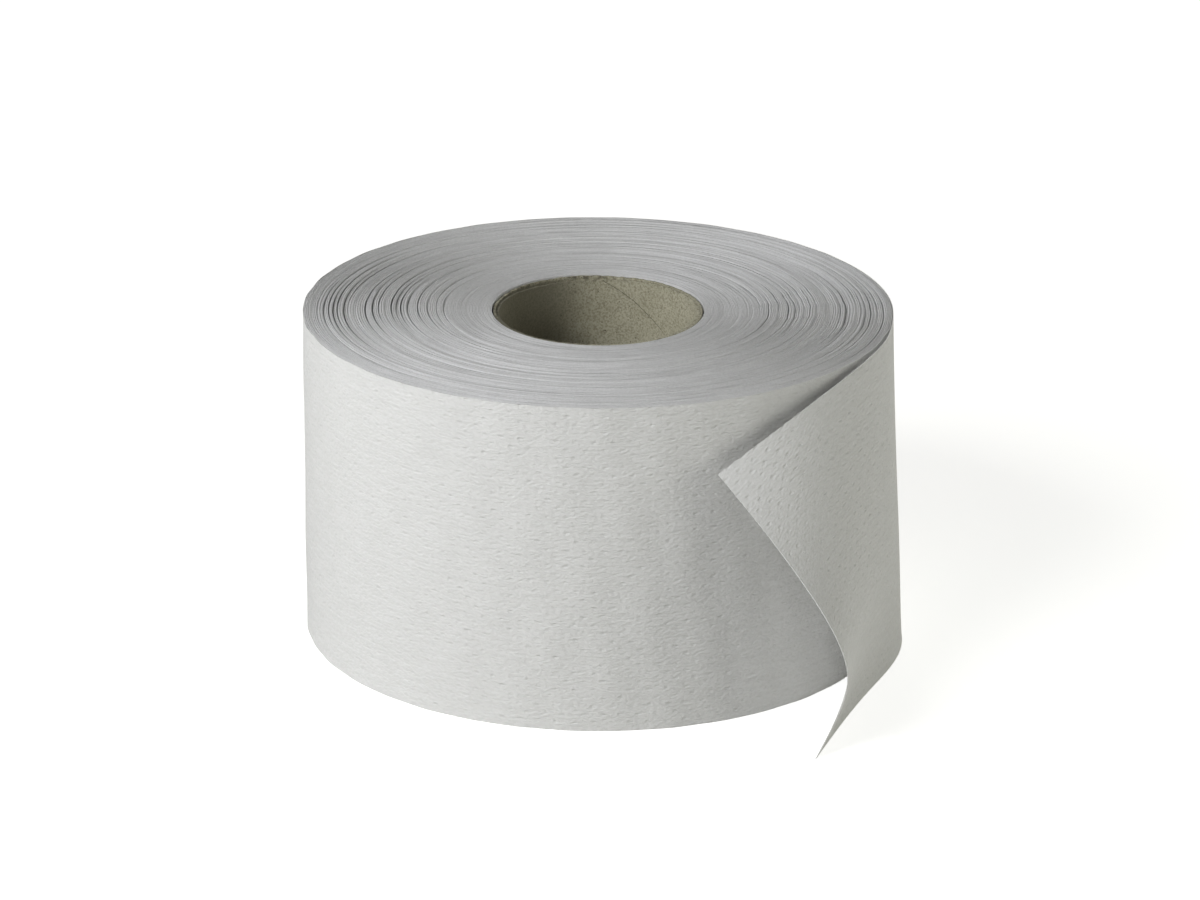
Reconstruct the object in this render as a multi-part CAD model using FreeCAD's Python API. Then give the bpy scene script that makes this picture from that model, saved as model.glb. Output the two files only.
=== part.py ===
import FreeCAD, Part
import math
import os

# Toilet paper roll standing on its end, with its loose end hanging off the side.
# Millimetres. The origin is on the roll's axis in the plane it stands on, +Z runs up
# the axis, the loose end leaves the roll at +X and comes forward, towards -Y.

# Driving dimensions
web_width = 95.5                # width of the paper, which is the roll's height
roll_diameter = 170.0           # over the outermost turn
sheet_thickness = 0.6           # embossed two-ply paper
lift_gap = 0.3                  # air under the last turn where it starts to lift
core_bore = 57.0                # inside diameter of the cardboard core
core_wall = 1.7
core_length = 95.5              # the core is cut off together with the paper
core_clearance = 0.25           # radial gap between the core and the first turn
seam_width = 0.8                # open butt joint of the core's inner ply
seam_depth = 0.45
seam_pitch = 137.0              # axial advance of the core's winding in one turn
seam_head_angle = 87.0          # degrees from +X, where the joint meets the upper end
lift_angle = 20.0               # degrees from +X, where the last turn leaves the spiral

# Groups of turns from the core outwards. Each entry gives where the group ends, as a
# share of the wound build-up, and how far the web had wandered along the axis, in mm.
# The web keeps its width, so a group that stands proud on top is as deep underneath.
turn_groups = [
    (0.31, 0.0),
    (0.42, 0.45),
    (0.51, 0.1),
    (0.64, 0.6),
    (0.775, 0.0),
    (0.87, 0.5),
    (1.0, 0.0),
]

# The loose end is a sheet between four lines: the step it comes from, its lower edge,
# its upper edge and its cut edge. The lower edge stands on the ground, bows out and
# then runs nearly straight. The upper edge follows the rim and droops to the corner.
# The cut edge curls out near the ground and leans back over the roll.
# Each guide is an angle in degrees from +X, a distance off the roll and a height.
lower_lift_angle = 12.0         # where the lower edge lifts off the roll
upper_lift_angle = -12.0        # where the upper edge does
lift_ease = 0.3                 # how far an edge has risen where it lifts off
lower_edge_guides = [(-3.8, 4.2, 0.0), (-15.8, 6.7, 0.0), (-34.9, 10.1, 0.0)]
tip = (-59.4, 34.6, 0.0)        # corner of the sheet that rests on the ground
cut_edge_guides = [(-56.5, 37.0, 14.0), (-57.2, 42.0, 28.0), (-60.9, 29.9, 52.0)]
# Heights on the upper edge are counted from the web's width down.
upper_edge_guides = [(-21.1, 1.6, 0.6), (-35.0, 2.6, -0.8), (-52.4, 4.6, -6.9)]
corner = (-68.3, 7.1, -18.2)    # the drooping corner
bow_share = 0.75                # under 1, the sheet takes the upper edge's line sooner
curl_reach = 3.0                # over 1, the cut edge's curl stays close to that edge
count_along = 6                 # spans between the lines drawn across the sheet
count_across = 3                # and between those drawn along it

roll_radius = roll_diameter / 2
core_outer_radius = core_bore / 2 + core_wall
paper_inner_radius = core_outer_radius + core_clearance
step_height = sheet_thickness + lift_gap
lift_heading = math.radians(lift_angle)
# Even stations along the sheet, and one close to its root that keeps it tangent there.
stations = [0, 0.2 / count_along] + [span / count_along for span in range(1, count_along + 1)]
up = FreeCAD.Vector(0, 0, 1)


def radial(angle):
    """Unit vector away from the axis at an angle in radians from +X."""
    return FreeCAD.Vector(math.cos(angle), math.sin(angle), 0)


def off_roll(angle, distance, height):
    """Point at an angle in degrees from +X and a distance off the outermost turn."""
    return radial(math.radians(angle)) * (roll_radius + distance) + up * height


def outermost_turn():
    """Plan outline of the roll: one turn of a spiral made of four tangent quarter arcs,
    closed by a radial step where the last turn leaves it."""
    drop = step_height / 4
    radius = roll_radius - drop / 2
    centre = radial(lift_heading) * (drop / 2)
    edges = []
    for quarter in range(4):
        start = lift_heading + quarter * math.pi / 2
        points = [centre + radial(start + share * math.pi / 4) * radius for share in (0, 1, 2)]
        edges.append(Part.Arc(*points).toShape())
        centre = centre + radial(start + math.pi / 2) * drop
        radius = radius - drop
    edges.append(Part.LineSegment(points[2], radial(lift_heading) * roll_radius).toShape())
    return Part.Face(Part.Wire(edges))


def half_section():
    """Section of the wound paper from the core to beyond the outermost turn, with the
    steps between its groups of turns on both ends."""
    build_up = roll_radius - paper_inner_radius
    beyond = roll_radius + sheet_thickness
    foot = []
    inner = paper_inner_radius
    for share, wander in turn_groups:
        outer = paper_inner_radius + share * build_up
        if share == turn_groups[-1][0]:
            outer = beyond
        foot.append(FreeCAD.Vector(inner, 0, wander))
        foot.append(FreeCAD.Vector(outer, 0, wander))
        inner = outer
    head = [point + up * web_width for point in reversed(foot)]
    return Part.Face(Part.makePolygon(foot + head + [foot[0]]))


def wound_turns():
    """All the turns that are still on the roll."""
    stepped = half_section().revolve(FreeCAD.Vector(0, 0, 0), up, 360)
    height = web_width + max(wander for share, wander in turn_groups)
    return stepped.common(outermost_turn().extrude(up * height))


def hanging_edge(leave_angle, level, guides):
    """An edge of the sheet: round the roll, off it at its own angle, then through its
    guide points. Returns its points at the stations along the sheet."""
    halfway = (lift_angle + leave_angle) / 2
    points = [off_roll(lift_angle, 0, level), off_roll(halfway, lift_ease / 3, level)]
    points.append(off_roll(leave_angle, lift_ease, level))
    points += [off_roll(angle, distance, height + level) for angle, distance, height in guides]
    line = Part.BSplineCurve()
    line.interpolate(Points=points, InitialTangent=radial(lift_heading - math.pi / 2),
                     FinalTangent=(points[-1] - points[-2]).normalize())
    return [line.value(line.parameterAtDistance(share * line.length())) for share in stations]


def cut_edge():
    """The cut edge, from the tip on the ground to the drooping corner."""
    points = [off_roll(*guide) for guide in [tip] + cut_edge_guides]
    points.append(off_roll(*corner) + up * web_width)
    line = Part.BSplineCurve()
    line.interpolate(points)
    return line.discretize(Number=count_across + 1)


def sheet_grid():
    """Points across the whole sheet. The plan shape passes from the lower edge's to the
    upper edge's, and the cut edge's own curl fades away from that edge."""
    lower = hanging_edge(lower_lift_angle, 0, lower_edge_guides + [tip])
    upper = hanging_edge(upper_lift_angle, web_width, upper_edge_guides + [corner])
    rows = []
    for k, end in enumerate(cut_edge()):
        rise = k / count_across
        bow = rise ** bow_share
        blend = []
        for low, high in zip(lower, upper):
            plan = low + (high - low) * bow
            blend.append(FreeCAD.Vector(plan.x, plan.y, low.z + (high.z - low.z) * rise))
        curl = end - blend[-1]
        rows.append([point + curl * share ** curl_reach for share, point in zip(stations, blend)])
    return rows


def smooth_face(rows):
    """Smooth surface through a grid of points."""
    surface = Part.BSplineSurface()
    surface.interpolate(rows)
    return surface


def back_of(rows):
    """The same grid moved one sheet thickness towards the roll. The lower row moves
    level, so that it stays on the ground."""
    back = []
    for k, row in enumerate(rows):
        moved = []
        for i, point in enumerate(row):
            along = row[min(i + 1, len(row) - 1)] - row[max(i - 1, 0)]
            across = rows[min(k + 1, len(rows) - 1)][i] - rows[max(k - 1, 0)][i]
            outward = along.cross(up if k == 0 else across) * -1
            if i == 0:
                outward = radial(lift_heading)
            moved.append(point - outward.normalize() * sheet_thickness)
        back.append(moved)
    return back


def loose_end():
    """The part of the last turn that has come off the roll."""
    rows = sheet_grid()
    front = smooth_face(rows)
    back = smooth_face(back_of(rows))
    faces = [front.toShape(), back.toShape()]
    for u, v in (("u", 0.0), ("u", 1.0), ("v", 0.0), ("v", 1.0)):
        pair = [side.uIso(v) if u == "u" else side.vIso(v) for side in (front, back)]
        faces.append(Part.makeRuledSurface(pair[0].toShape(), pair[1].toShape()))
    shell = Part.makeShell(faces)
    shell.sewShape()
    solid = Part.makeSolid(shell)
    if solid.Volume < 0:
        solid.reverse()
    return solid


def paper_roll():
    """The paper: one continuous sheet, wound and hanging loose."""
    return wound_turns().fuse(loose_end()).removeSplitter()


def core_tube():
    """Cardboard core, wound from strips on the skew, with the open butt joint of its
    inner ply running round the bore."""
    bore_radius = core_bore / 2
    tube = Part.makeCylinder(core_outer_radius, core_length)
    tube = tube.cut(Part.makeCylinder(bore_radius, core_length))
    overrun = 10.0
    turns = (core_length + 2 * overrun) / seam_pitch
    helix = Part.makeHelix(seam_pitch, turns * seam_pitch, bore_radius)
    mouth = bore_radius - seam_depth
    corners = [
        FreeCAD.Vector(mouth, 0, -seam_width),
        FreeCAD.Vector(bore_radius + seam_depth, 0, 0),
        FreeCAD.Vector(mouth, 0, seam_width),
    ]
    section = Part.makePolygon(corners + [corners[0]])
    groove = Part.Wire(helix.Edges).makePipeShell([section], True, True)
    groove.translate(up * -overrun)
    if groove.Volume < 0:
        groove.reverse()
    start_angle = seam_head_angle - 360 * (core_length + overrun) / seam_pitch
    groove.rotate(FreeCAD.Vector(0, 0, 0), up, start_angle)
    return tube.cut(groove)


def save(name, shape):
    solids = shape.Solids
    node = solids[0] if len(solids) == 1 else Part.makeCompound(solids)
    node.exportStep("parts/" + name + ".step")
    box = node.BoundBox
    print(name, len(solids), "solid", "valid" if node.isValid() else "NOT VALID",
          "volume %.0f" % node.Volume,
          "x %.1f %.1f y %.1f %.1f z %.2f %.2f" % (box.XMin, box.XMax, box.YMin, box.YMax, box.ZMin, box.ZMax))


os.makedirs("parts", exist_ok=True)
save("paper_roll", paper_roll())
save("core_tube", core_tube())
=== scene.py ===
import math

import bmesh
import bpy
import numpy as np
from mathutils import Matrix, Vector


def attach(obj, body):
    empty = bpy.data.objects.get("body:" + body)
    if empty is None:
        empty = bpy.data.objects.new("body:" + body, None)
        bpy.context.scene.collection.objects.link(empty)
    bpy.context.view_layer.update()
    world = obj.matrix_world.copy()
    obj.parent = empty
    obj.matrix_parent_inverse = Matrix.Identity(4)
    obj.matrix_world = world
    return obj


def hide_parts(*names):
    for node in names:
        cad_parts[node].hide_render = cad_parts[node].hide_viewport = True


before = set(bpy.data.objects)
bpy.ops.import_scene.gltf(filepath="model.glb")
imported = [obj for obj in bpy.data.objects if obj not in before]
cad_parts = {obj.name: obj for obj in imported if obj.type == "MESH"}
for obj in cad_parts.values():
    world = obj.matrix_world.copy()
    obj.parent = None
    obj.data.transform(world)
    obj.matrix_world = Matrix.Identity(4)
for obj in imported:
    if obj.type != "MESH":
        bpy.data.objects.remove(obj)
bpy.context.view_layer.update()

# Core tube
# Two plies of grey board, wound on the skew and glued into one tube, then sawn off with the paper.
# The outer ply keeps a ragged sawn end. The inner ply is a strip whose edges meet in an open joint.
roll_height = 0.0959
core_radius = 0.0302
core_bore = 0.0285
ply_thickness = 0.00083
inner_thickness = ply_thickness - 0.00002
sawn_off = 0.0003               # how far the sawn ends stop short of the paper
seam_pitch = 0.137              # axial advance of the strip in one turn
seam_head = math.radians(87.0)  # where the joint meets the upper end
strip_sweep = math.radians(609.6)
joint_width = 0.00022
torn_reach = 0.006              # height of the zone at each end in which tearing shifts the strip
torn_start = 0.089              # where the upper one starts
crisp_angle = math.radians(42)
# How far the core and the turns next to it lie below the rim, at the back and at the front.
sunk_behind = 0.0001
sunk_in_front = 0.0010


def new_piece(name, bm):
    """Makes a bmesh an object at the origin, smooth, riding on the roll."""
    mesh = bpy.data.meshes.new(name)
    bm.to_mesh(mesh)
    bm.free()
    mesh.shade_smooth()
    piece = bpy.data.objects.new(name, mesh)
    bpy.context.collection.objects.link(piece)
    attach(piece, "root")
    return piece


def points_of(piece):
    """The vertices of a piece as an array of rows."""
    rows = np.empty(len(piece.data.vertices) * 3)
    piece.data.vertices.foreach_get("co", rows)
    return rows.reshape(-1, 3)


def move_points(piece, rows):
    """Puts the vertices of a piece where the rows say."""
    piece.data.vertices.foreach_set("co", np.ascontiguousarray(rows, dtype=np.float64).ravel())
    piece.data.update()


def ripple(angle, seed, waves):
    """Smooth wandering value round a circle, about -1 to 1, the same at 0 and 360 degrees."""
    dice = np.random.RandomState(seed)
    total = np.zeros_like(angle)
    for wave in waves:
        total += dice.uniform(0.4, 1.0) * np.cos(wave * angle + dice.uniform(0, 6.283))
    return total / math.sqrt(len(waves))


def bump_window(angle, centre, reach):
    """1 at an angle round the axis, fading to 0 a reach away from it. Degrees."""
    away = (np.degrees(angle) - centre + 180.0) % 360.0 - 180.0
    return np.exp(-(away / reach) ** 2)


def sunk(angle):
    """How far the core lies below the rim at an angle round the axis."""
    return (sunk_in_front + sunk_behind) / 2 - (sunk_in_front - sunk_behind) / 2 * np.sin(angle)


def give_wall(piece, thickness, side):
    """Gives a sheet its thickness for good, with crisp cut edges. The wall grows in front of
    the faces where the side is 1, and behind them where it is -1."""
    wall = piece.modifiers.new("wall", "SOLIDIFY")
    wall.thickness = thickness
    wall.offset = side
    solid = bpy.data.meshes.new_from_object(piece.evaluated_get(bpy.context.evaluated_depsgraph_get()))
    piece.modifiers.clear()
    piece.data = solid
    solid.set_sharp_from_angle(angle=crisp_angle)


bm = bmesh.new()
bmesh.ops.create_circle(bm, segments=360, radius=core_radius)
wall = bmesh.ops.extrude_edge_only(bm, edges=bm.edges[:])["geom"]
top_ring = [v for v in wall if isinstance(v, bmesh.types.BMVert)]
bmesh.ops.translate(bm, verts=top_ring, vec=(0, 0, roll_height))
uprights = [e for e in bm.edges if abs(e.verts[0].co.z - e.verts[1].co.z) > 0.01]
bmesh.ops.subdivide_edges(bm, edges=uprights, cuts=11, use_grid_fill=True)
bmesh.ops.recalc_face_normals(bm, faces=bm.faces[:])
bmesh.ops.solidify(bm, geom=bm.faces[:], thickness=ply_thickness)
bmesh.ops.recalc_face_normals(bm, faces=bm.faces[:])
outer_ply = new_piece("core_outer_ply", bm)
rows = points_of(outer_ply)
angle = np.arctan2(rows[:, 1], rows[:, 0])
radius = np.hypot(rows[:, 0], rows[:, 1])
inner_side = radius < core_radius - ply_thickness / 2
level = rows[:, 2] / roll_height
ragged = ripple(angle, 11, range(18, 90, 7)) * 0.00010 + ripple(angle, 12, (2, 3, 5, 9)) * 0.00012
chipped = 0.6 + 0.4 * ripple(angle, 13, range(30, 120, 11))
radius = np.where(inner_side, core_radius - ply_thickness, core_radius)
end_share = np.where(level > 0.99, 1.0, np.where(level < 0.01, -1.0, 0.0))
radius = radius + np.abs(end_share) * np.where(inner_side, 0.00008, -0.00016) * chipped
rows[:, 0] = radius * np.cos(angle)
rows[:, 1] = radius * np.sin(angle)
rows[:, 2] -= end_share * (sawn_off + ragged) + np.maximum(end_share, 0) * sunk(angle)
move_points(outer_ply, rows)

bm = bmesh.new()
bmesh.ops.create_grid(bm, x_segments=610, y_segments=26, size=0.5)
inner_ply = new_piece("core_inner_ply", bm)
rows = points_of(inner_ply)
first_angle = seam_head - strip_sweep
angle = first_angle + (rows[:, 0] + 0.5) * strip_sweep
seam_level = roll_height + seam_pitch * (angle - seam_head) / (2 * math.pi)
level = seam_level + joint_width / 2 + (rows[:, 1] + 0.5) * (seam_pitch - joint_width)
strip_radius = core_bore + ply_thickness
rows[:, 0] = strip_radius * np.cos(angle)
rows[:, 1] = strip_radius * np.sin(angle)
rows[:, 2] = level
move_points(inner_ply, rows)
bm = bmesh.new()
bm.from_mesh(inner_ply.data)
for height, keep in ((roll_height, 1), (0.0, -1)):
    bmesh.ops.bisect_plane(bm, geom=bm.verts[:] + bm.edges[:] + bm.faces[:], plane_co=(0, 0, height),
                           plane_no=(0, 0, keep), clear_outer=True, dist=0.00002)
bm.to_mesh(inner_ply.data)
bm.free()
rows = points_of(inner_ply)
angle = np.arctan2(rows[:, 1], rows[:, 0])
torn = 0.00035 + 0.00115 * bump_window(angle, 115.0, 50.0) + 0.00035 * bump_window(angle, 200.0, 40.0)
torn = torn + ripple(angle, 21, range(20, 150, 9)) * 0.00016 + ripple(angle, 22, (3, 4, 7)) * 0.00012
upper_zone = np.clip((rows[:, 2] - torn_start) / torn_reach, 0, 1)
lower_zone = np.clip((torn_reach - rows[:, 2]) / torn_reach, 0, 1)
rows[:, 2] += lower_zone * (0.0005 + 0.3 * torn) - upper_zone * (torn + sunk(angle))
move_points(inner_ply, rows)
bm = bmesh.new()
bm.from_mesh(inner_ply.data)
bmesh.ops.recalc_face_normals(bm, faces=bm.faces[:])
# The strip's faces look at the axis, and its wall grows on that side.
first = bm.faces[:][0]
if first.normal.dot(first.calc_center_median()) > 0:
    bmesh.ops.reverse_faces(bm, faces=bm.faces[:])
bm.to_mesh(inner_ply.data)
bm.free()
give_wall(inner_ply, inner_thickness, 1.0)
outer_ply.data.set_sharp_from_angle(angle=crisp_angle)


def new_material(name):
    """A new material, its node tree and its shader."""
    material = bpy.data.materials.new(name)
    material.use_nodes = True
    tree = material.node_tree
    return material, tree, tree.nodes["Principled BSDF"]


def fill(tree, socket, value):
    """Links a socket to another one, or gives it a value."""
    if isinstance(value, bpy.types.NodeSocket):
        tree.links.new(value, socket)
    else:
        socket.default_value = value


def add_node(tree, kind, settings=(), **sockets):
    """Adds a node, sets its properties, and fills or links its sockets by name, or by number
    as i0, i1 and so on."""
    node = tree.nodes.new(kind)
    for name, value in settings:
        setattr(node, name, value)
    for name, value in sockets.items():
        numbered = name[0] == "i" and name[1:].isdigit()
        fill(tree, node.inputs[int(name[1:]) if numbered else name.replace("_", " ")], value)
    return node


def math_node(tree, operation, first, second=0.5):
    return add_node(tree, "ShaderNodeMath", [("operation", operation)], i0=first, i1=second).outputs[0]


def grain(tree, vector, scale, detail=3.0, roughness=0.55):
    return add_node(tree, "ShaderNodeTexNoise", Vector=vector, Scale=scale, Detail=detail,
                    Roughness=roughness).outputs["Fac"]


def remap(tree, value, low, high, to_low=0.0, to_high=1.0):
    """A smooth step from to_low, where the value is low, to to_high, where it is high."""
    node = add_node(tree, "ShaderNodeMapRange", [("interpolation_type", "SMOOTHSTEP")], Value=value)
    node.inputs["From Min"].default_value = low
    node.inputs["From Max"].default_value = high
    node.inputs["To Min"].default_value = to_low
    node.inputs["To Max"].default_value = to_high
    return node.outputs[0]


def blend_colours(tree, share, first, second):
    node = add_node(tree, "ShaderNodeMix", [("data_type", "RGBA")])
    fill(tree, node.inputs["Factor"], share)
    fill(tree, node.inputs[6], first)
    fill(tree, node.inputs[7], second)
    return node.outputs[2]


def relief(tree, height, distance, strength=1.0, under=None):
    """Relief of a depth in metres, on top of another relief where one is given."""
    node = add_node(tree, "ShaderNodeBump", Height=height, Distance=distance, Strength=strength)
    if under is not None:
        tree.links.new(under, node.inputs["Normal"])
    return node.outputs[0]


pale_board = (0.53, 0.508, 0.39, 1)
dull_board = (0.46, 0.438, 0.325, 1)
fibre_colour = (0.24, 0.222, 0.155, 1)
speck_colour = (0.13, 0.115, 0.08, 1)
worn_colour = (0.095, 0.088, 0.066, 1)
bore_shade_colour = (0.13, 0.122, 0.09, 1)
grey_board, tree, shader = new_material("grey_board")
place = add_node(tree, "ShaderNodeTexCoord").outputs["Object"]
cloudy = grain(tree, place, 90.0, 4.0)
fibres = grain(tree, place, 1700.0, 2.0, 0.6)
specks = remap(tree, grain(tree, place, 1500.0, 2.0, 0.5), 0.66, 0.74)
colour = blend_colours(tree, remap(tree, cloudy, 0.3, 0.7), dull_board, pale_board)
colour = blend_colours(tree, remap(tree, fibres, 0.36, 0.70, 0.0, 0.75), colour, fibre_colour)
colour = blend_colours(tree, specks, colour, speck_colour)
axes = add_node(tree, "ShaderNodeSeparateXYZ", Vector=place)
height = axes.outputs[2]
torn_side = remap(tree, axes.outputs[0], -0.004, 0.016, 1.0, 0.25)
sawn = remap(tree, height, roll_height - 0.0021, roll_height - 0.0009, 0.0, 0.85)
blotches = remap(tree, grain(tree, place, 520.0, 4.0, 0.7), 0.40, 0.62)
worn = math_node(tree, "MULTIPLY", math_node(tree, "MULTIPLY", sawn, blotches), torn_side)
colour = blend_colours(tree, worn, colour, worn_colour)
# Painted shade darkens the left side of the bore, up to a little below the end.
below_end = remap(tree, height, roll_height - 0.0012, roll_height - 0.0004, 1.0, 0.0)
painted_bore_shade = math_node(tree, "MULTIPLY", remap(tree, axes.outputs[0], -0.016, 0.003, 0.8, 0.0), below_end)
colour = blend_colours(tree, painted_bore_shade, colour, bore_shade_colour)
tree.links.new(colour, shader.inputs["Base Color"])
tree.links.new(remap(tree, fibres, 0.2, 0.8, 0.82, 0.95), shader.inputs["Roughness"])
tree.links.new(relief(tree, fibres, 0.0001, 0.8, relief(tree, cloudy, 0.0002, 0.5)), shader.inputs["Normal"])
shader.inputs["Specular IOR Level"].default_value = 0.2
for ply in (outer_ply, inner_ply):
    ply.data.materials.append(grey_board)
    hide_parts("core_tube")

# Wound turns
# Some four hundred turns of soft paper on the core. The web wandered along the axis while it was
# wound, so on both ends groups of turns stand proud of each other, with dark grooves between them.
roll_radius = 0.085
bore_radius = 0.0306
lift_degrees = 20.0             # from +X, where the last turn leaves the roll
lift_angle = math.radians(lift_degrees)
turn_drop = 0.0004
build_up = (roll_radius - bore_radius) * 1000    # of all the turns, in mm
web_thickness = 0.0002
turn_gap = 0.00003              # air between the last turn and the one under it
slack_share = 0.14              # share of the way round over which the last turn is slack
ring_count = 232                # rings of mesh on the upper end
spin_steps = 288
ring_steps = (-0.27, -0.12, 0.12, 0.27)          # from a groove to the rings at its sides, in mm
groove_reach = 0.26             # half width of a groove, in mm
groove_side = 0.12              # how much of it is the groove's side
foot_gap = 0.0003               # how far the lower end's turns stay off the ground
# Share of the roll's radius, groove depth in mm on the left side and on the right side.
grooves = [
    (0.973, 0.12, 0.42), (0.953, 0.18, 0.46), (0.930, 0.42, 0.50), (0.913, 0.50, 0.42),
    (0.898, 0.42, 0.34), (0.884, 0.58, 0.30), (0.862, 0.66, 0.18), (0.848, 0.46, 0.50),
    (0.829, 0.16, 0.40), (0.791, 0.66, 0.12), (0.767, 0.72, 0.14), (0.747, 0.40, 0.52),
    (0.725, 0.14, 0.50), (0.705, 0.60, 0.46), (0.688, 0.66, 0.14), (0.673, 0.50, 0.48),
    (0.650, 0.58, 0.50), (0.616, 0.46, 0.44), (0.582, 0.46, 0.36), (0.552, 0.34, 0.16),
    (0.526, 0.26, 0.10),
]
# Outline of the groups of turns: share of the build-up, and height over the web's edge in mm.
plateaus = [(0.0, 0.0), (0.29, 0.0), (0.36, 0.40), (0.42, 0.40), (0.46, 0.1), (0.51, 0.1),
            (0.56, 0.50), (0.64, 0.50), (0.68, 0.0), (0.775, 0.05), (0.80, 0.42), (0.87, 0.42), (0.91, 0.0),
            (0.985, 0.0), (1.0, -0.15)]
# Single kinks: angle and reach in degrees, and size in mm.
kinks = [(1.5, 1.6, -0.22), (-7.0, 2.2, 0.14), (12.0, 2.0, -0.12), (171.0, 2.4, 0.10)]


def under_last_turn(angle):
    """Radius of the turns under the last one. It falls by one turn's build-up on its way
    round, and where the last turn lifts off it rises again under that turn's slack."""
    way = ((angle - lift_angle) / (2 * math.pi)) % 1.0
    rise = np.clip(way / slack_share, 0, 1)
    rise = rise * rise * (3 - 2 * rise)
    return roll_radius - web_thickness - turn_gap - turn_drop * (way + (1 - rise))


def groove_place(radius_share):
    """Build-up share at which a groove lies, from its share of the roll's radius."""
    return (radius_share * roll_radius - bore_radius) / (roll_radius - bore_radius)


def ring_places(count):
    """Build-up shares of the rings that the ends are made of, closer at each groove."""
    stops = [0.0, 1.0]
    for groove in grooves:
        centre = groove_place(groove[0])
        stops += [centre + step / build_up for step in ring_steps]
    while len(stops) < count:
        stops.sort()
        gaps = np.diff(stops)
        widest = int(np.argmax(gaps))
        stops.append((stops[widest] + stops[widest + 1]) / 2)
    return np.sort(np.array(stops))


top_rings = ring_places(ring_count)
foot_rings = top_rings[::3]
bm = bmesh.new()
corners = [bm.verts.new(place) for place in ((0, 0, 1), (1, 0, 1), (1, 0, 0), (0, 0, 0))]
sides = [bm.edges.new((corners[k], corners[(k + 1) % 4])) for k in range(4)]
bmesh.ops.translate(bm, verts=bm.verts[:], vec=(1, 0, 0))
bmesh.ops.subdivide_edges(bm, edges=[sides[0]], cuts=len(top_rings) - 2)
bmesh.ops.subdivide_edges(bm, edges=[sides[2]], cuts=len(foot_rings) - 2)
bmesh.ops.subdivide_edges(bm, edges=[sides[1], sides[3]], cuts=3)
bmesh.ops.spin(bm, geom=bm.verts[:] + bm.edges[:], axis=(0, 0, 1), cent=(0, 0, 0), steps=spin_steps,
               angle=2 * math.pi, use_merge=True)
bmesh.ops.recalc_face_normals(bm, faces=bm.faces[:])
wound_turns = new_piece("wound_turns", bm)
rows = points_of(wound_turns)
angle = np.arctan2(rows[:, 1], rows[:, 0])
even = np.hypot(rows[:, 0], rows[:, 1]) - 1.0
up_share = rows[:, 2].copy()
on_top = up_share > 0.999
on_foot = up_share < 0.001
share = even.copy()
share[on_top] = np.interp(even[on_top], np.linspace(0, 1, len(top_rings)), top_rings)
share[on_foot] = np.interp(even[on_foot], np.linspace(0, 1, len(foot_rings)), foot_rings)


def groove_depth(share, angle):
    """How deep the ends sink at the grooves, in metres, each strongest on its own side."""
    depth = np.zeros_like(share)
    for number, (radius_share, left, right) in enumerate(grooves):
        away = np.abs(share - groove_place(radius_share)) * build_up
        side = left * bump_window(angle, 178.0 + 14 * math.sin(2.3 * number), 52.0)
        side = side + right * bump_window(angle, 14.0 + 12 * math.sin(1.7 * number), 50.0)
        side = side + 0.05
        wall = np.clip((groove_reach - away) / groove_side, 0, 1)
        depth += side * wall * (0.8 + 0.35 * ripple(angle, 300 + number, (2, 3, 5, 8)))
    return depth * 0.001


def turn_ridges(share, angle, count, seed):
    """Turns that stand a little proud or sunk, each fading in and out round the roll."""
    ring = np.rint(share * (count - 1)).astype(int)
    dice = np.random.RandomState(seed)
    total = np.zeros_like(share)
    for wave in (0, 1, 2, 3, 5, 8):
        size = dice.normal(0, 1, count) / (1 + 0.25 * wave)
        phase = dice.uniform(0, 6.283, count)
        total += size[ring] * np.cos(wave * angle + phase[ring])
    return total * 0.4


def wavy(share, angle):
    """Sideways wander of the turns: slack and kinked on the right, smoother elsewhere."""
    slow = 0.00022 * np.cos(2 * angle + 0.6 + 5 * share) + 0.00014 * np.cos(3 * angle + 2.1 - 7 * share)
    kinked = np.zeros_like(share)
    for wave in (17, 23, 31, 44):
        kinked += np.cos(wave * angle + 1.3 * wave + 2.5 * np.sin(6 * share + wave))
    kinked = kinked * 0.00003 * bump_window(angle, 8.0, 40.0)
    for place, reach, size in kinks:
        window = bump_window(angle, place + 2 * np.sin(11 * share), reach)
        kinked += size * 0.001 * np.sin(4 + 9 * share + place) * window
    middle = np.clip(share * 5, 0, 1) * np.clip((1 - share) * 8, 0, 1)
    return (slow + kinked) * middle


outside = under_last_turn(angle)
radius = bore_radius + share * (outside - bore_radius) + wavy(share, angle)
group_share, group_height = zip(*plateaus)
height = np.interp(share, group_share, group_height) * 0.001
height = height * (0.75 + 0.25 * ripple(angle, 41, (1, 2, 3)))
# Every other ring stands a little proud, so that the ends show single turns.
dice = np.random.RandomState(77)
zigzag = np.where(np.arange(len(top_rings)) % 2 == 0, 1.0, -1.0) * dice.uniform(0.5, 1.0, len(top_rings))
zigzag = zigzag * np.gradient(top_rings) * (roll_radius - bore_radius)
zigzag = np.interp(even, np.linspace(0, 1, len(top_rings)), zigzag)
steepness = np.interp(share, (0.0, 0.25, 0.45, 1.0), (0.32, 0.34, 0.46, 0.46))
fine = turn_ridges(even, angle, len(top_rings), 51)
fine_size = np.interp(share, (0.0, 0.2, 0.45, 0.9, 1.0), (0.00001, 0.00002, 0.00005, 0.00005, 0.00004))
relief_up = height + fine * fine_size - groove_depth(share, angle)
fine_foot = turn_ridges(even, angle, len(foot_rings), 52)
relief_down = height + fine_foot * fine_size - groove_depth(share, angle)
# The turns next to the core sink with it.
dished = np.clip(1 - share / 0.3, 0, 1)
up_height = roll_height + relief_up + zigzag * steepness - dished * sunk(angle)
foot_relief = np.maximum(relief_down - 0.0002, -foot_gap) * 0.6
foot_height = np.where(share > 0.985, foot_gap, foot_gap + foot_relief)
rows[:, 0] = radius * np.cos(angle)
rows[:, 1] = radius * np.sin(angle)
rows[:, 2] = np.where(on_top, up_height, np.where(on_foot, foot_height, up_share * roll_height))
move_points(wound_turns, rows)
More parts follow.
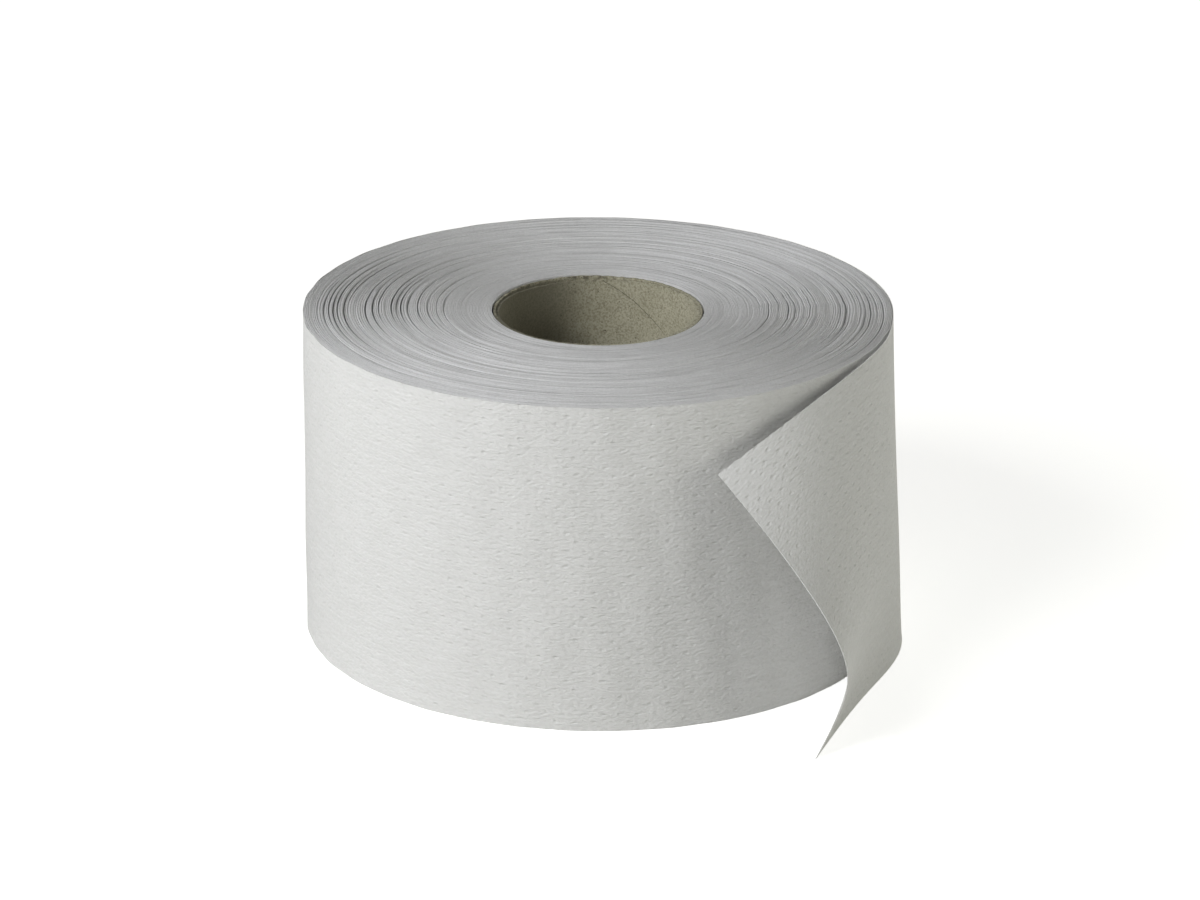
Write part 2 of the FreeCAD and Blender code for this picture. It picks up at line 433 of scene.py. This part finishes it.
# The build-up share and the groove depth go into a map, so that the paper's grain follows the turns and the
# grooves get painted shade.
wind = wound_turns.data.uv_layers.new(name="wind")
corner_points = np.empty(len(wound_turns.data.loops), dtype=np.int32)
wound_turns.data.loops.foreach_get("vertex_index", corner_points)
depth_map = groove_depth(share, angle) * 1000
wind_places = np.stack([share, depth_map], axis=-1)[corner_points]
wind.uv.foreach_set("vector", wind_places.astype(np.float32).ravel())
ends = np.empty(len(wound_turns.data.edges) * 2, dtype=np.int32)
wound_turns.data.edges.foreach_get("vertices", ends)
first_end, last_end = ends.reshape(-1, 2).T
same_ring = (np.abs(even[first_end] - even[last_end]) < 1e-4) & on_top[first_end] & on_top[last_end]
crisp = wound_turns.data.attributes.new("sharp_edge", "BOOLEAN", "EDGE")
crisp.data.foreach_set("value", same_ring)

pale_edge = (0.825, 0.825, 0.83, 1)
dull_edge = (0.715, 0.715, 0.715, 1)
lint_colour = (0.64, 0.64, 0.64, 1)
cloud_colour = (0.68, 0.68, 0.675, 1)
groove_shade_colour = (0.22, 0.22, 0.22, 1)
turn_edges, tree, shader = new_material("turn_edges")
place = add_node(tree, "ShaderNodeTexCoord").outputs["Object"]
axes = add_node(tree, "ShaderNodeSeparateXYZ", Vector=place)
wind_map = add_node(tree, "ShaderNodeUVMap", [("uv_map", "wind")]).outputs[0]
wound = add_node(tree, "ShaderNodeSeparateXYZ", Vector=wind_map)
along_x = math_node(tree, "MULTIPLY", axes.outputs[0], 14.0)
along_y = math_node(tree, "MULTIPLY", axes.outputs[1], 14.0)
across = math_node(tree, "MULTIPLY", wound.outputs[0], 150.0)
ringed = add_node(tree, "ShaderNodeCombineXYZ", X=along_x, Y=along_y, Z=across).outputs[0]
# Painted shade: the deeper a groove, the darker its colour, standing in for the shadow inside it.
shadowed = remap(tree, wound.outputs[1], 0.08, 0.5, 0.0, 0.75)
turns = grain(tree, ringed, 1.0, 3.0, 0.7)
lint = grain(tree, place, 1300.0, 2.0, 0.6)
cloudy = grain(tree, place, 60.0, 3.0)
colour = blend_colours(tree, remap(tree, turns, 0.25, 0.75), dull_edge, pale_edge)
colour = blend_colours(tree, remap(tree, lint, 0.35, 0.7, 0.0, 0.5), colour, lint_colour)
colour = blend_colours(tree, remap(tree, cloudy, 0.3, 0.7, 0.0, 0.12), colour, cloud_colour)
colour = blend_colours(tree, shadowed, colour, groove_shade_colour)
tree.links.new(colour, shader.inputs["Base Color"])
tree.links.new(remap(tree, lint, 0.2, 0.8, 0.86, 0.98), shader.inputs["Roughness"])
lint_relief = relief(tree, lint, 0.00012, 0.8)
tree.links.new(relief(tree, turns, 0.0006, 1.0, lint_relief), shader.inputs["Normal"])
shader.inputs["Specular IOR Level"].default_value = 0.12
wound_turns.data.materials.append(turn_edges)
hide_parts("paper_roll")

# Last turn and loose end
# One web of embossed two-ply tissue: the outermost turn, and the loose end, which lifts off at the
# right, hangs to the ground and ends in a knife cut edge. Its other end is tucked under the lift.
loose_length = 0.138
tucked = 0.006
# Guides of the edges: degrees from +X, distance off the roll and height, in mm. Heights on the
# upper edge count from the web's width down.
lower_edge = [(16.0, 0.1, 0.0), (12.0, 0.3, 0.0), (-3.8, 4.2, 0.0), (-15.8, 6.7, 0.0), (-34.9, 10.1, 0.0),
              (-59.4, 34.6, 0.0)]
upper_edge = [(4.0, 0.1, 0.0), (-12.0, 0.3, 0.0), (-21.1, 1.6, 0.6), (-35.0, 2.6, -0.8), (-52.4, 4.6, -6.9),
              (-68.9, 7.1, -18.6)]
cut_edge = [(-56.5, 37.0, 14.0), (-57.2, 42.0, 28.0), (-60.9, 29.9, 52.0)]
bow_share = 0.75
curl_reach = 3.0


def off_roll(angle, distance, height):
    """Place at an angle in degrees, a distance off the roll and a height in mm."""
    angle = math.radians(angle)
    radius = roll_radius * 1000 + distance
    return np.array([radius * math.cos(angle), radius * math.sin(angle), height]) * 0.001


def smooth_line(points, shares, heading=None):
    """Points at shares of the length of a smooth curve through a few guide points, which
    starts in a given direction. Its slopes make the curvature continuous."""
    points = np.array(points)
    steps = np.linalg.norm(np.diff(points, axis=0), axis=1)
    knots = np.concatenate([[0], np.cumsum(steps)])
    count = len(points)
    table = np.zeros((count, count))
    wanted = np.zeros((count, 3))
    for k in range(1, count - 1):
        before, after = steps[k - 1], steps[k]
        table[k, k - 1:k + 2] = (after, 2 * (before + after), before)
        incoming = after / before * (points[k] - points[k - 1])
        outgoing = before / after * (points[k + 1] - points[k])
        wanted[k] = 3 * (incoming + outgoing)
    table[0, 0] = 1
    table[-1, -2:] = (1, 2)
    wanted[-1] = 3 * (points[-1] - points[-2]) / steps[-1]
    if heading is None:
        table[0, :2] = (2, 1)
        wanted[0] = 3 * (points[1] - points[0]) / steps[0]
    else:
        wanted[0] = heading
    slopes = np.linalg.solve(table, wanted)
    fine = np.linspace(0, knots[-1], 2000)
    span = np.clip(np.searchsorted(knots, fine, side="right") - 1, 0, count - 2)
    t = ((fine - knots[span]) / steps[span])[:, None]
    size = steps[span][:, None]
    line = (points[span] * (2 * t ** 3 - 3 * t ** 2 + 1) + slopes[span] * size * (t ** 3 - 2 * t ** 2 + t)
            + points[span + 1] * (3 * t ** 2 - 2 * t ** 3) + slopes[span + 1] * size * (t ** 3 - t ** 2))
    length = np.concatenate([[0], np.cumsum(np.linalg.norm(np.diff(line, axis=0), axis=1))])
    length = length / length[-1]
    return np.stack([np.interp(shares, length, line[:, k]) for k in range(3)], axis=-1)


def loose_end(along, rise):
    """Places on the loose end, from shares along it and up it."""
    heading = np.array([math.sin(lift_angle), -math.cos(lift_angle), 0.0])
    web_width = roll_height * 1000
    low_guides = [off_roll(lift_degrees, 0, 0)] + [off_roll(*guide) for guide in lower_edge]
    high_guides = [off_roll(lift_degrees, 0, web_width)]
    high_guides += [off_roll(angle, distance, web_width + level) for angle, distance, level in upper_edge]
    end_guides = [low_guides[-1]] + [off_roll(*guide) for guide in cut_edge] + [high_guides[-1]]
    low = smooth_line(low_guides, along, heading)
    high = smooth_line(high_guides, along, heading)
    end = smooth_line(end_guides, rise)
    low_tip = smooth_line(low_guides, np.array([1.0]), heading)
    high_tip = smooth_line(high_guides, np.array([1.0]), heading)

    def ruled(first, second):
        """The sheet between two lines, whose plan takes the second line's sooner."""
        bow = (rise ** bow_share)[:, None]
        plan = first + (second - first) * bow
        plan[:, 2] = first[:, 2] + (second[:, 2] - first[:, 2]) * rise
        return plan

    curl = end - ruled(low_tip.repeat(len(rise), 0), high_tip.repeat(len(rise), 0))
    return ruled(low, high) + curl * (along ** curl_reach)[:, None]


turn_length = 2 * math.pi * (roll_radius - turn_drop / 2)
web_length = loose_length + turn_length + tucked
bm = bmesh.new()
bmesh.ops.create_grid(bm, x_segments=560, y_segments=60, size=0.5)
# The web's own map counts in lengths of the web, both ways.
weave = bm.loops.layers.uv.new("web")
for face in bm.faces:
    for loop in face.loops:
        loop[weave].uv = (loop.vert.co.x + 0.5, (loop.vert.co.y + 0.5) * roll_height / web_length)
last_turn = new_piece("last_turn", bm)
rows = points_of(last_turn)
web_place = (rows[:, 0] + 0.5) * web_length - loose_length
rise = rows[:, 1] + 0.5
wound = web_place >= 0
angle = lift_angle + np.clip(web_place, 0, None) / (roll_radius - turn_drop / 2)
radius = roll_radius - turn_drop * (angle - lift_angle) / (2 * math.pi)
slack = 0.00008 * np.sin(37 * angle + 9 * rise) + 0.00007 * np.sin(23 * angle - 14 * rise + 1.0)
radius = radius + slack * np.clip(web_place / 0.03, 0, 1)
around = np.stack([radius * np.cos(angle), radius * np.sin(angle), rise * roll_height], axis=-1)
hanging = loose_end(np.clip(-web_place / loose_length, 0, 1), rise)
rows = np.where(wound[:, None], around, hanging)
rim_dip = 0.00012 * np.clip(web_place / 0.02, 0, 1) * np.clip((rise - 0.97) / 0.03, 0, 1)
rows[:, 2] -= rim_dip
move_points(last_turn, rows)
bm = bmesh.new()
bm.from_mesh(last_turn.data)
# The web's faces look outwards, and its wall grows behind them.
left_face = [f for f in bm.faces if f.calc_center_median().x < -0.08][0]
if left_face.normal.dot(left_face.calc_center_median()) < 0:
    bmesh.ops.reverse_faces(bm, faces=bm.faces[:])
bm.to_mesh(last_turn.data)
bm.free()
give_wall(last_turn, web_thickness, -1.0)

pale_tissue = (0.815, 0.815, 0.806, 1)
dull_tissue = (0.775, 0.775, 0.762, 1)
fluff_colour = (0.72, 0.72, 0.705, 1)
haze_colour = (0.73, 0.73, 0.71, 1)
pit_depth = 0.00017
streak_depth = 0.0001
fibre_depth = 0.00027
# Spacing of the staggered pits, along the web and across it.
pit_spacing = (0.0052, 0.0049)
tissue, tree, shader = new_material("embossed_tissue")
web = add_node(tree, "ShaderNodeUVMap", [("uv_map", "web")]).outputs[0]
lattice_scale = [math.sqrt(2) * web_length / spacing for spacing in pit_spacing]
lattice = add_node(tree, "ShaderNodeMapping", Vector=web)
lattice.inputs["Scale"].default_value = (lattice_scale[0], lattice_scale[1], 1)
lattice.inputs["Rotation"].default_value = (0, 0, math.radians(45))
cells = add_node(tree, "ShaderNodeTexVoronoi", [("voronoi_dimensions", "2D")], Vector=lattice.outputs[0],
                 Scale=1.0, Randomness=0.15)
offset = add_node(tree, "ShaderNodeVectorMath", [("operation", "SUBTRACT")], i0=lattice.outputs[0],
                  i1=cells.outputs["Position"]).outputs[0]
apart = add_node(tree, "ShaderNodeSeparateXYZ", Vector=offset)
lengthwise = math_node(tree, "MULTIPLY", math_node(tree, "ADD", apart.outputs[0], apart.outputs[1]), 0.55)
crosswise = math_node(tree, "SUBTRACT", apart.outputs[1], apart.outputs[0])
flattened = add_node(tree, "ShaderNodeCombineXYZ", X=lengthwise, Y=crosswise).outputs[0]
away = add_node(tree, "ShaderNodeVectorMath", [("operation", "LENGTH")], i0=flattened).outputs["Value"]
luck = add_node(tree, "ShaderNodeSeparateColor", Color=cells.outputs["Color"]).outputs[0]
along_web = add_node(tree, "ShaderNodeSeparateXYZ", Vector=web).outputs[0]
# The pits vary a little in depth, and are deeper in the loose end, which nothing pulls flat.
luck_depth = remap(tree, luck, 0.0, 1.0, 0.75, 1.0)
freedom = remap(tree, along_web, loose_length / web_length, 0.5 * loose_length / web_length, 1.0, 1.3)
pit = math_node(tree, "MULTIPLY", remap(tree, away, 0.0, 0.27, 1.0, 0.0), luck_depth)
pit = math_node(tree, "MULTIPLY", pit, freedom)


def web_grain(tree, along, across):
    """Soft grain on the web, finer across it than along it. Both scales are per metre."""
    stretched = add_node(tree, "ShaderNodeMapping", Vector=web)
    stretched.inputs["Scale"].default_value = (along * web_length, across * web_length, 1)
    return grain(tree, stretched.outputs[0], 1.0, 1.0, 0.5)


streaks = web_grain(tree, 110.0, 800.0)
fibres = web_grain(tree, 760.0, 1450.0)
cloudy = grain(tree, add_node(tree, "ShaderNodeTexCoord").outputs["Object"], 70.0, 3.0)
colour = blend_colours(tree, remap(tree, streaks, 0.25, 0.75), dull_tissue, pale_tissue)
colour = blend_colours(tree, remap(tree, fibres, 0.35, 0.75, 0.0, 0.45), colour, fluff_colour)
colour = blend_colours(tree, remap(tree, cloudy, 0.3, 0.7, 0.0, 0.10), colour, haze_colour)
tree.links.new(colour, shader.inputs["Base Color"])
tree.links.new(remap(tree, fibres, 0.2, 0.8, 0.84, 0.97), shader.inputs["Roughness"])
surface = relief(tree, math_node(tree, "SUBTRACT", 1.0, pit), pit_depth)
surface = relief(tree, streaks, streak_depth, 1.0, surface)
surface = relief(tree, fibres, fibre_depth, 1.0, surface)
tree.links.new(surface, shader.inputs["Normal"])
shader.inputs["Specular IOR Level"].default_value = 0.15
last_turn.data.materials.append(tissue)
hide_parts("paper_roll")

# Floor
# A plain pale floor, wider than the view. It adds some light of its own where it is seen, so that
# it shows white round the roll, and keeps the roll's soft shadow.
floor_glow = 0.72


def seen_share(tree):
    """1 for a ray from the camera, or through gloss or glass, and 0 for one that lights the roll."""
    rays = add_node(tree, "ShaderNodeLightPath")
    seen = math_node(tree, "MAXIMUM", rays.outputs["Is Camera Ray"], rays.outputs["Is Glossy Ray"])
    return math_node(tree, "MAXIMUM", seen, rays.outputs["Is Transmission Ray"])


bm = bmesh.new()
bmesh.ops.create_grid(bm, x_segments=1, y_segments=1, size=6.0)
floor = new_piece("floor", bm)
pale_floor, tree, shader = new_material("pale_floor")
shader.inputs["Roughness"].default_value = 1.0
shader.inputs["Specular IOR Level"].default_value = 0.0
shader.inputs["Base Color"].default_value = (0.80, 0.80, 0.765, 1)
glow_strength = math_node(tree, "MULTIPLY", seen_share(tree), floor_glow)
glow = add_node(tree, "ShaderNodeEmission", Strength=glow_strength)
both = add_node(tree, "ShaderNodeAddShader", i0=shader.outputs[0], i1=glow.outputs[0])
tree.links.new(both.outputs[0], tree.nodes["Material Output"].inputs["Surface"])
floor.data.materials.append(pale_floor)

# Studio light
# A large soft lamp at the front left lights the roll, and five weaker ones all round stand for the
# bounce of a pale room. The room itself is seen white and gives the roll no light.
world = bpy.data.worlds.new("pale_room")
bpy.context.scene.world = world
world.use_nodes = True
tree = world.node_tree
background = tree.nodes["Background"]
tree.links.new(seen_share(tree), background.inputs["Strength"])
background.inputs["Color"].default_value = (1.0, 1.0, 1.0, 1)
lamp_distance = 1.5
lamp_size = 0.8
key_colour = (0.985, 0.99, 1.0)
fill_colour = (1.0, 1.0, 0.93)


def soft_lamp(name, azimuth, elevation, power, colour):
    """A square area lamp aimed at the roll. The azimuth is in degrees from +X."""
    data = bpy.data.lights.new(name, "AREA")
    data.shape = "SQUARE"
    data.size = lamp_size
    data.energy = power
    data.color = colour
    lamp = bpy.data.objects.new(name, data)
    bpy.context.collection.objects.link(lamp)
    turn = math.radians(azimuth)
    lift = math.radians(elevation)
    away = Vector((math.cos(turn) * math.cos(lift), math.sin(turn) * math.cos(lift), math.sin(lift)))
    aim = Vector((0, 0, 0.045))
    turned = away.to_track_quat("Z", "Y").to_matrix().to_4x4()
    lamp.matrix_world = Matrix.Translation(aim + away * lamp_distance) @ turned


soft_lamp("key_lamp", -135.0, 35.0, 15.7, key_colour)
soft_lamp("left_lamp", -165.0, 10.0, 3.7, key_colour)
soft_lamp("front_right_lamp", -30.0, 10.0, 3.2, fill_colour)
soft_lamp("right_lamp", 0.0, 10.0, 2.7, fill_colour)
soft_lamp("high_right_lamp", 0.0, 35.0, 2.1, fill_colour)
soft_lamp("back_lamp", 80.0, 10.0, 7.0, fill_colour)

# Camera
# The photograph's viewpoint, fitted to the rim, the sides and the foot of the roll. It looks down
# by some 22 degrees from one and a half metres away.
view_elevation = math.radians(22.326)
view_distance = 1.503
tilt_up = math.radians(1.860)
turn_right = math.radians(0.0365)
roll_over = math.radians(0.404)
camera_data = bpy.data.cameras.new("photo_camera")
camera_data.sensor_width = 36.0
camera_data.lens = 153.08
camera = bpy.data.objects.new("photo_camera", camera_data)
bpy.context.collection.objects.link(camera)
view_place = Vector((0, -math.cos(view_elevation), math.sin(view_elevation))) * view_distance
pitch = math.radians(90.0) - view_elevation + tilt_up
camera.matrix_world = (Matrix.Translation(view_place) @ Matrix.Rotation(-turn_right, 4, "Z")
                       @ Matrix.Rotation(pitch, 4, "X") @ Matrix.Rotation(roll_over, 4, "Z"))
bpy.context.scene.camera = camera
bpy.context.scene.view_settings.view_transform = "Standard"
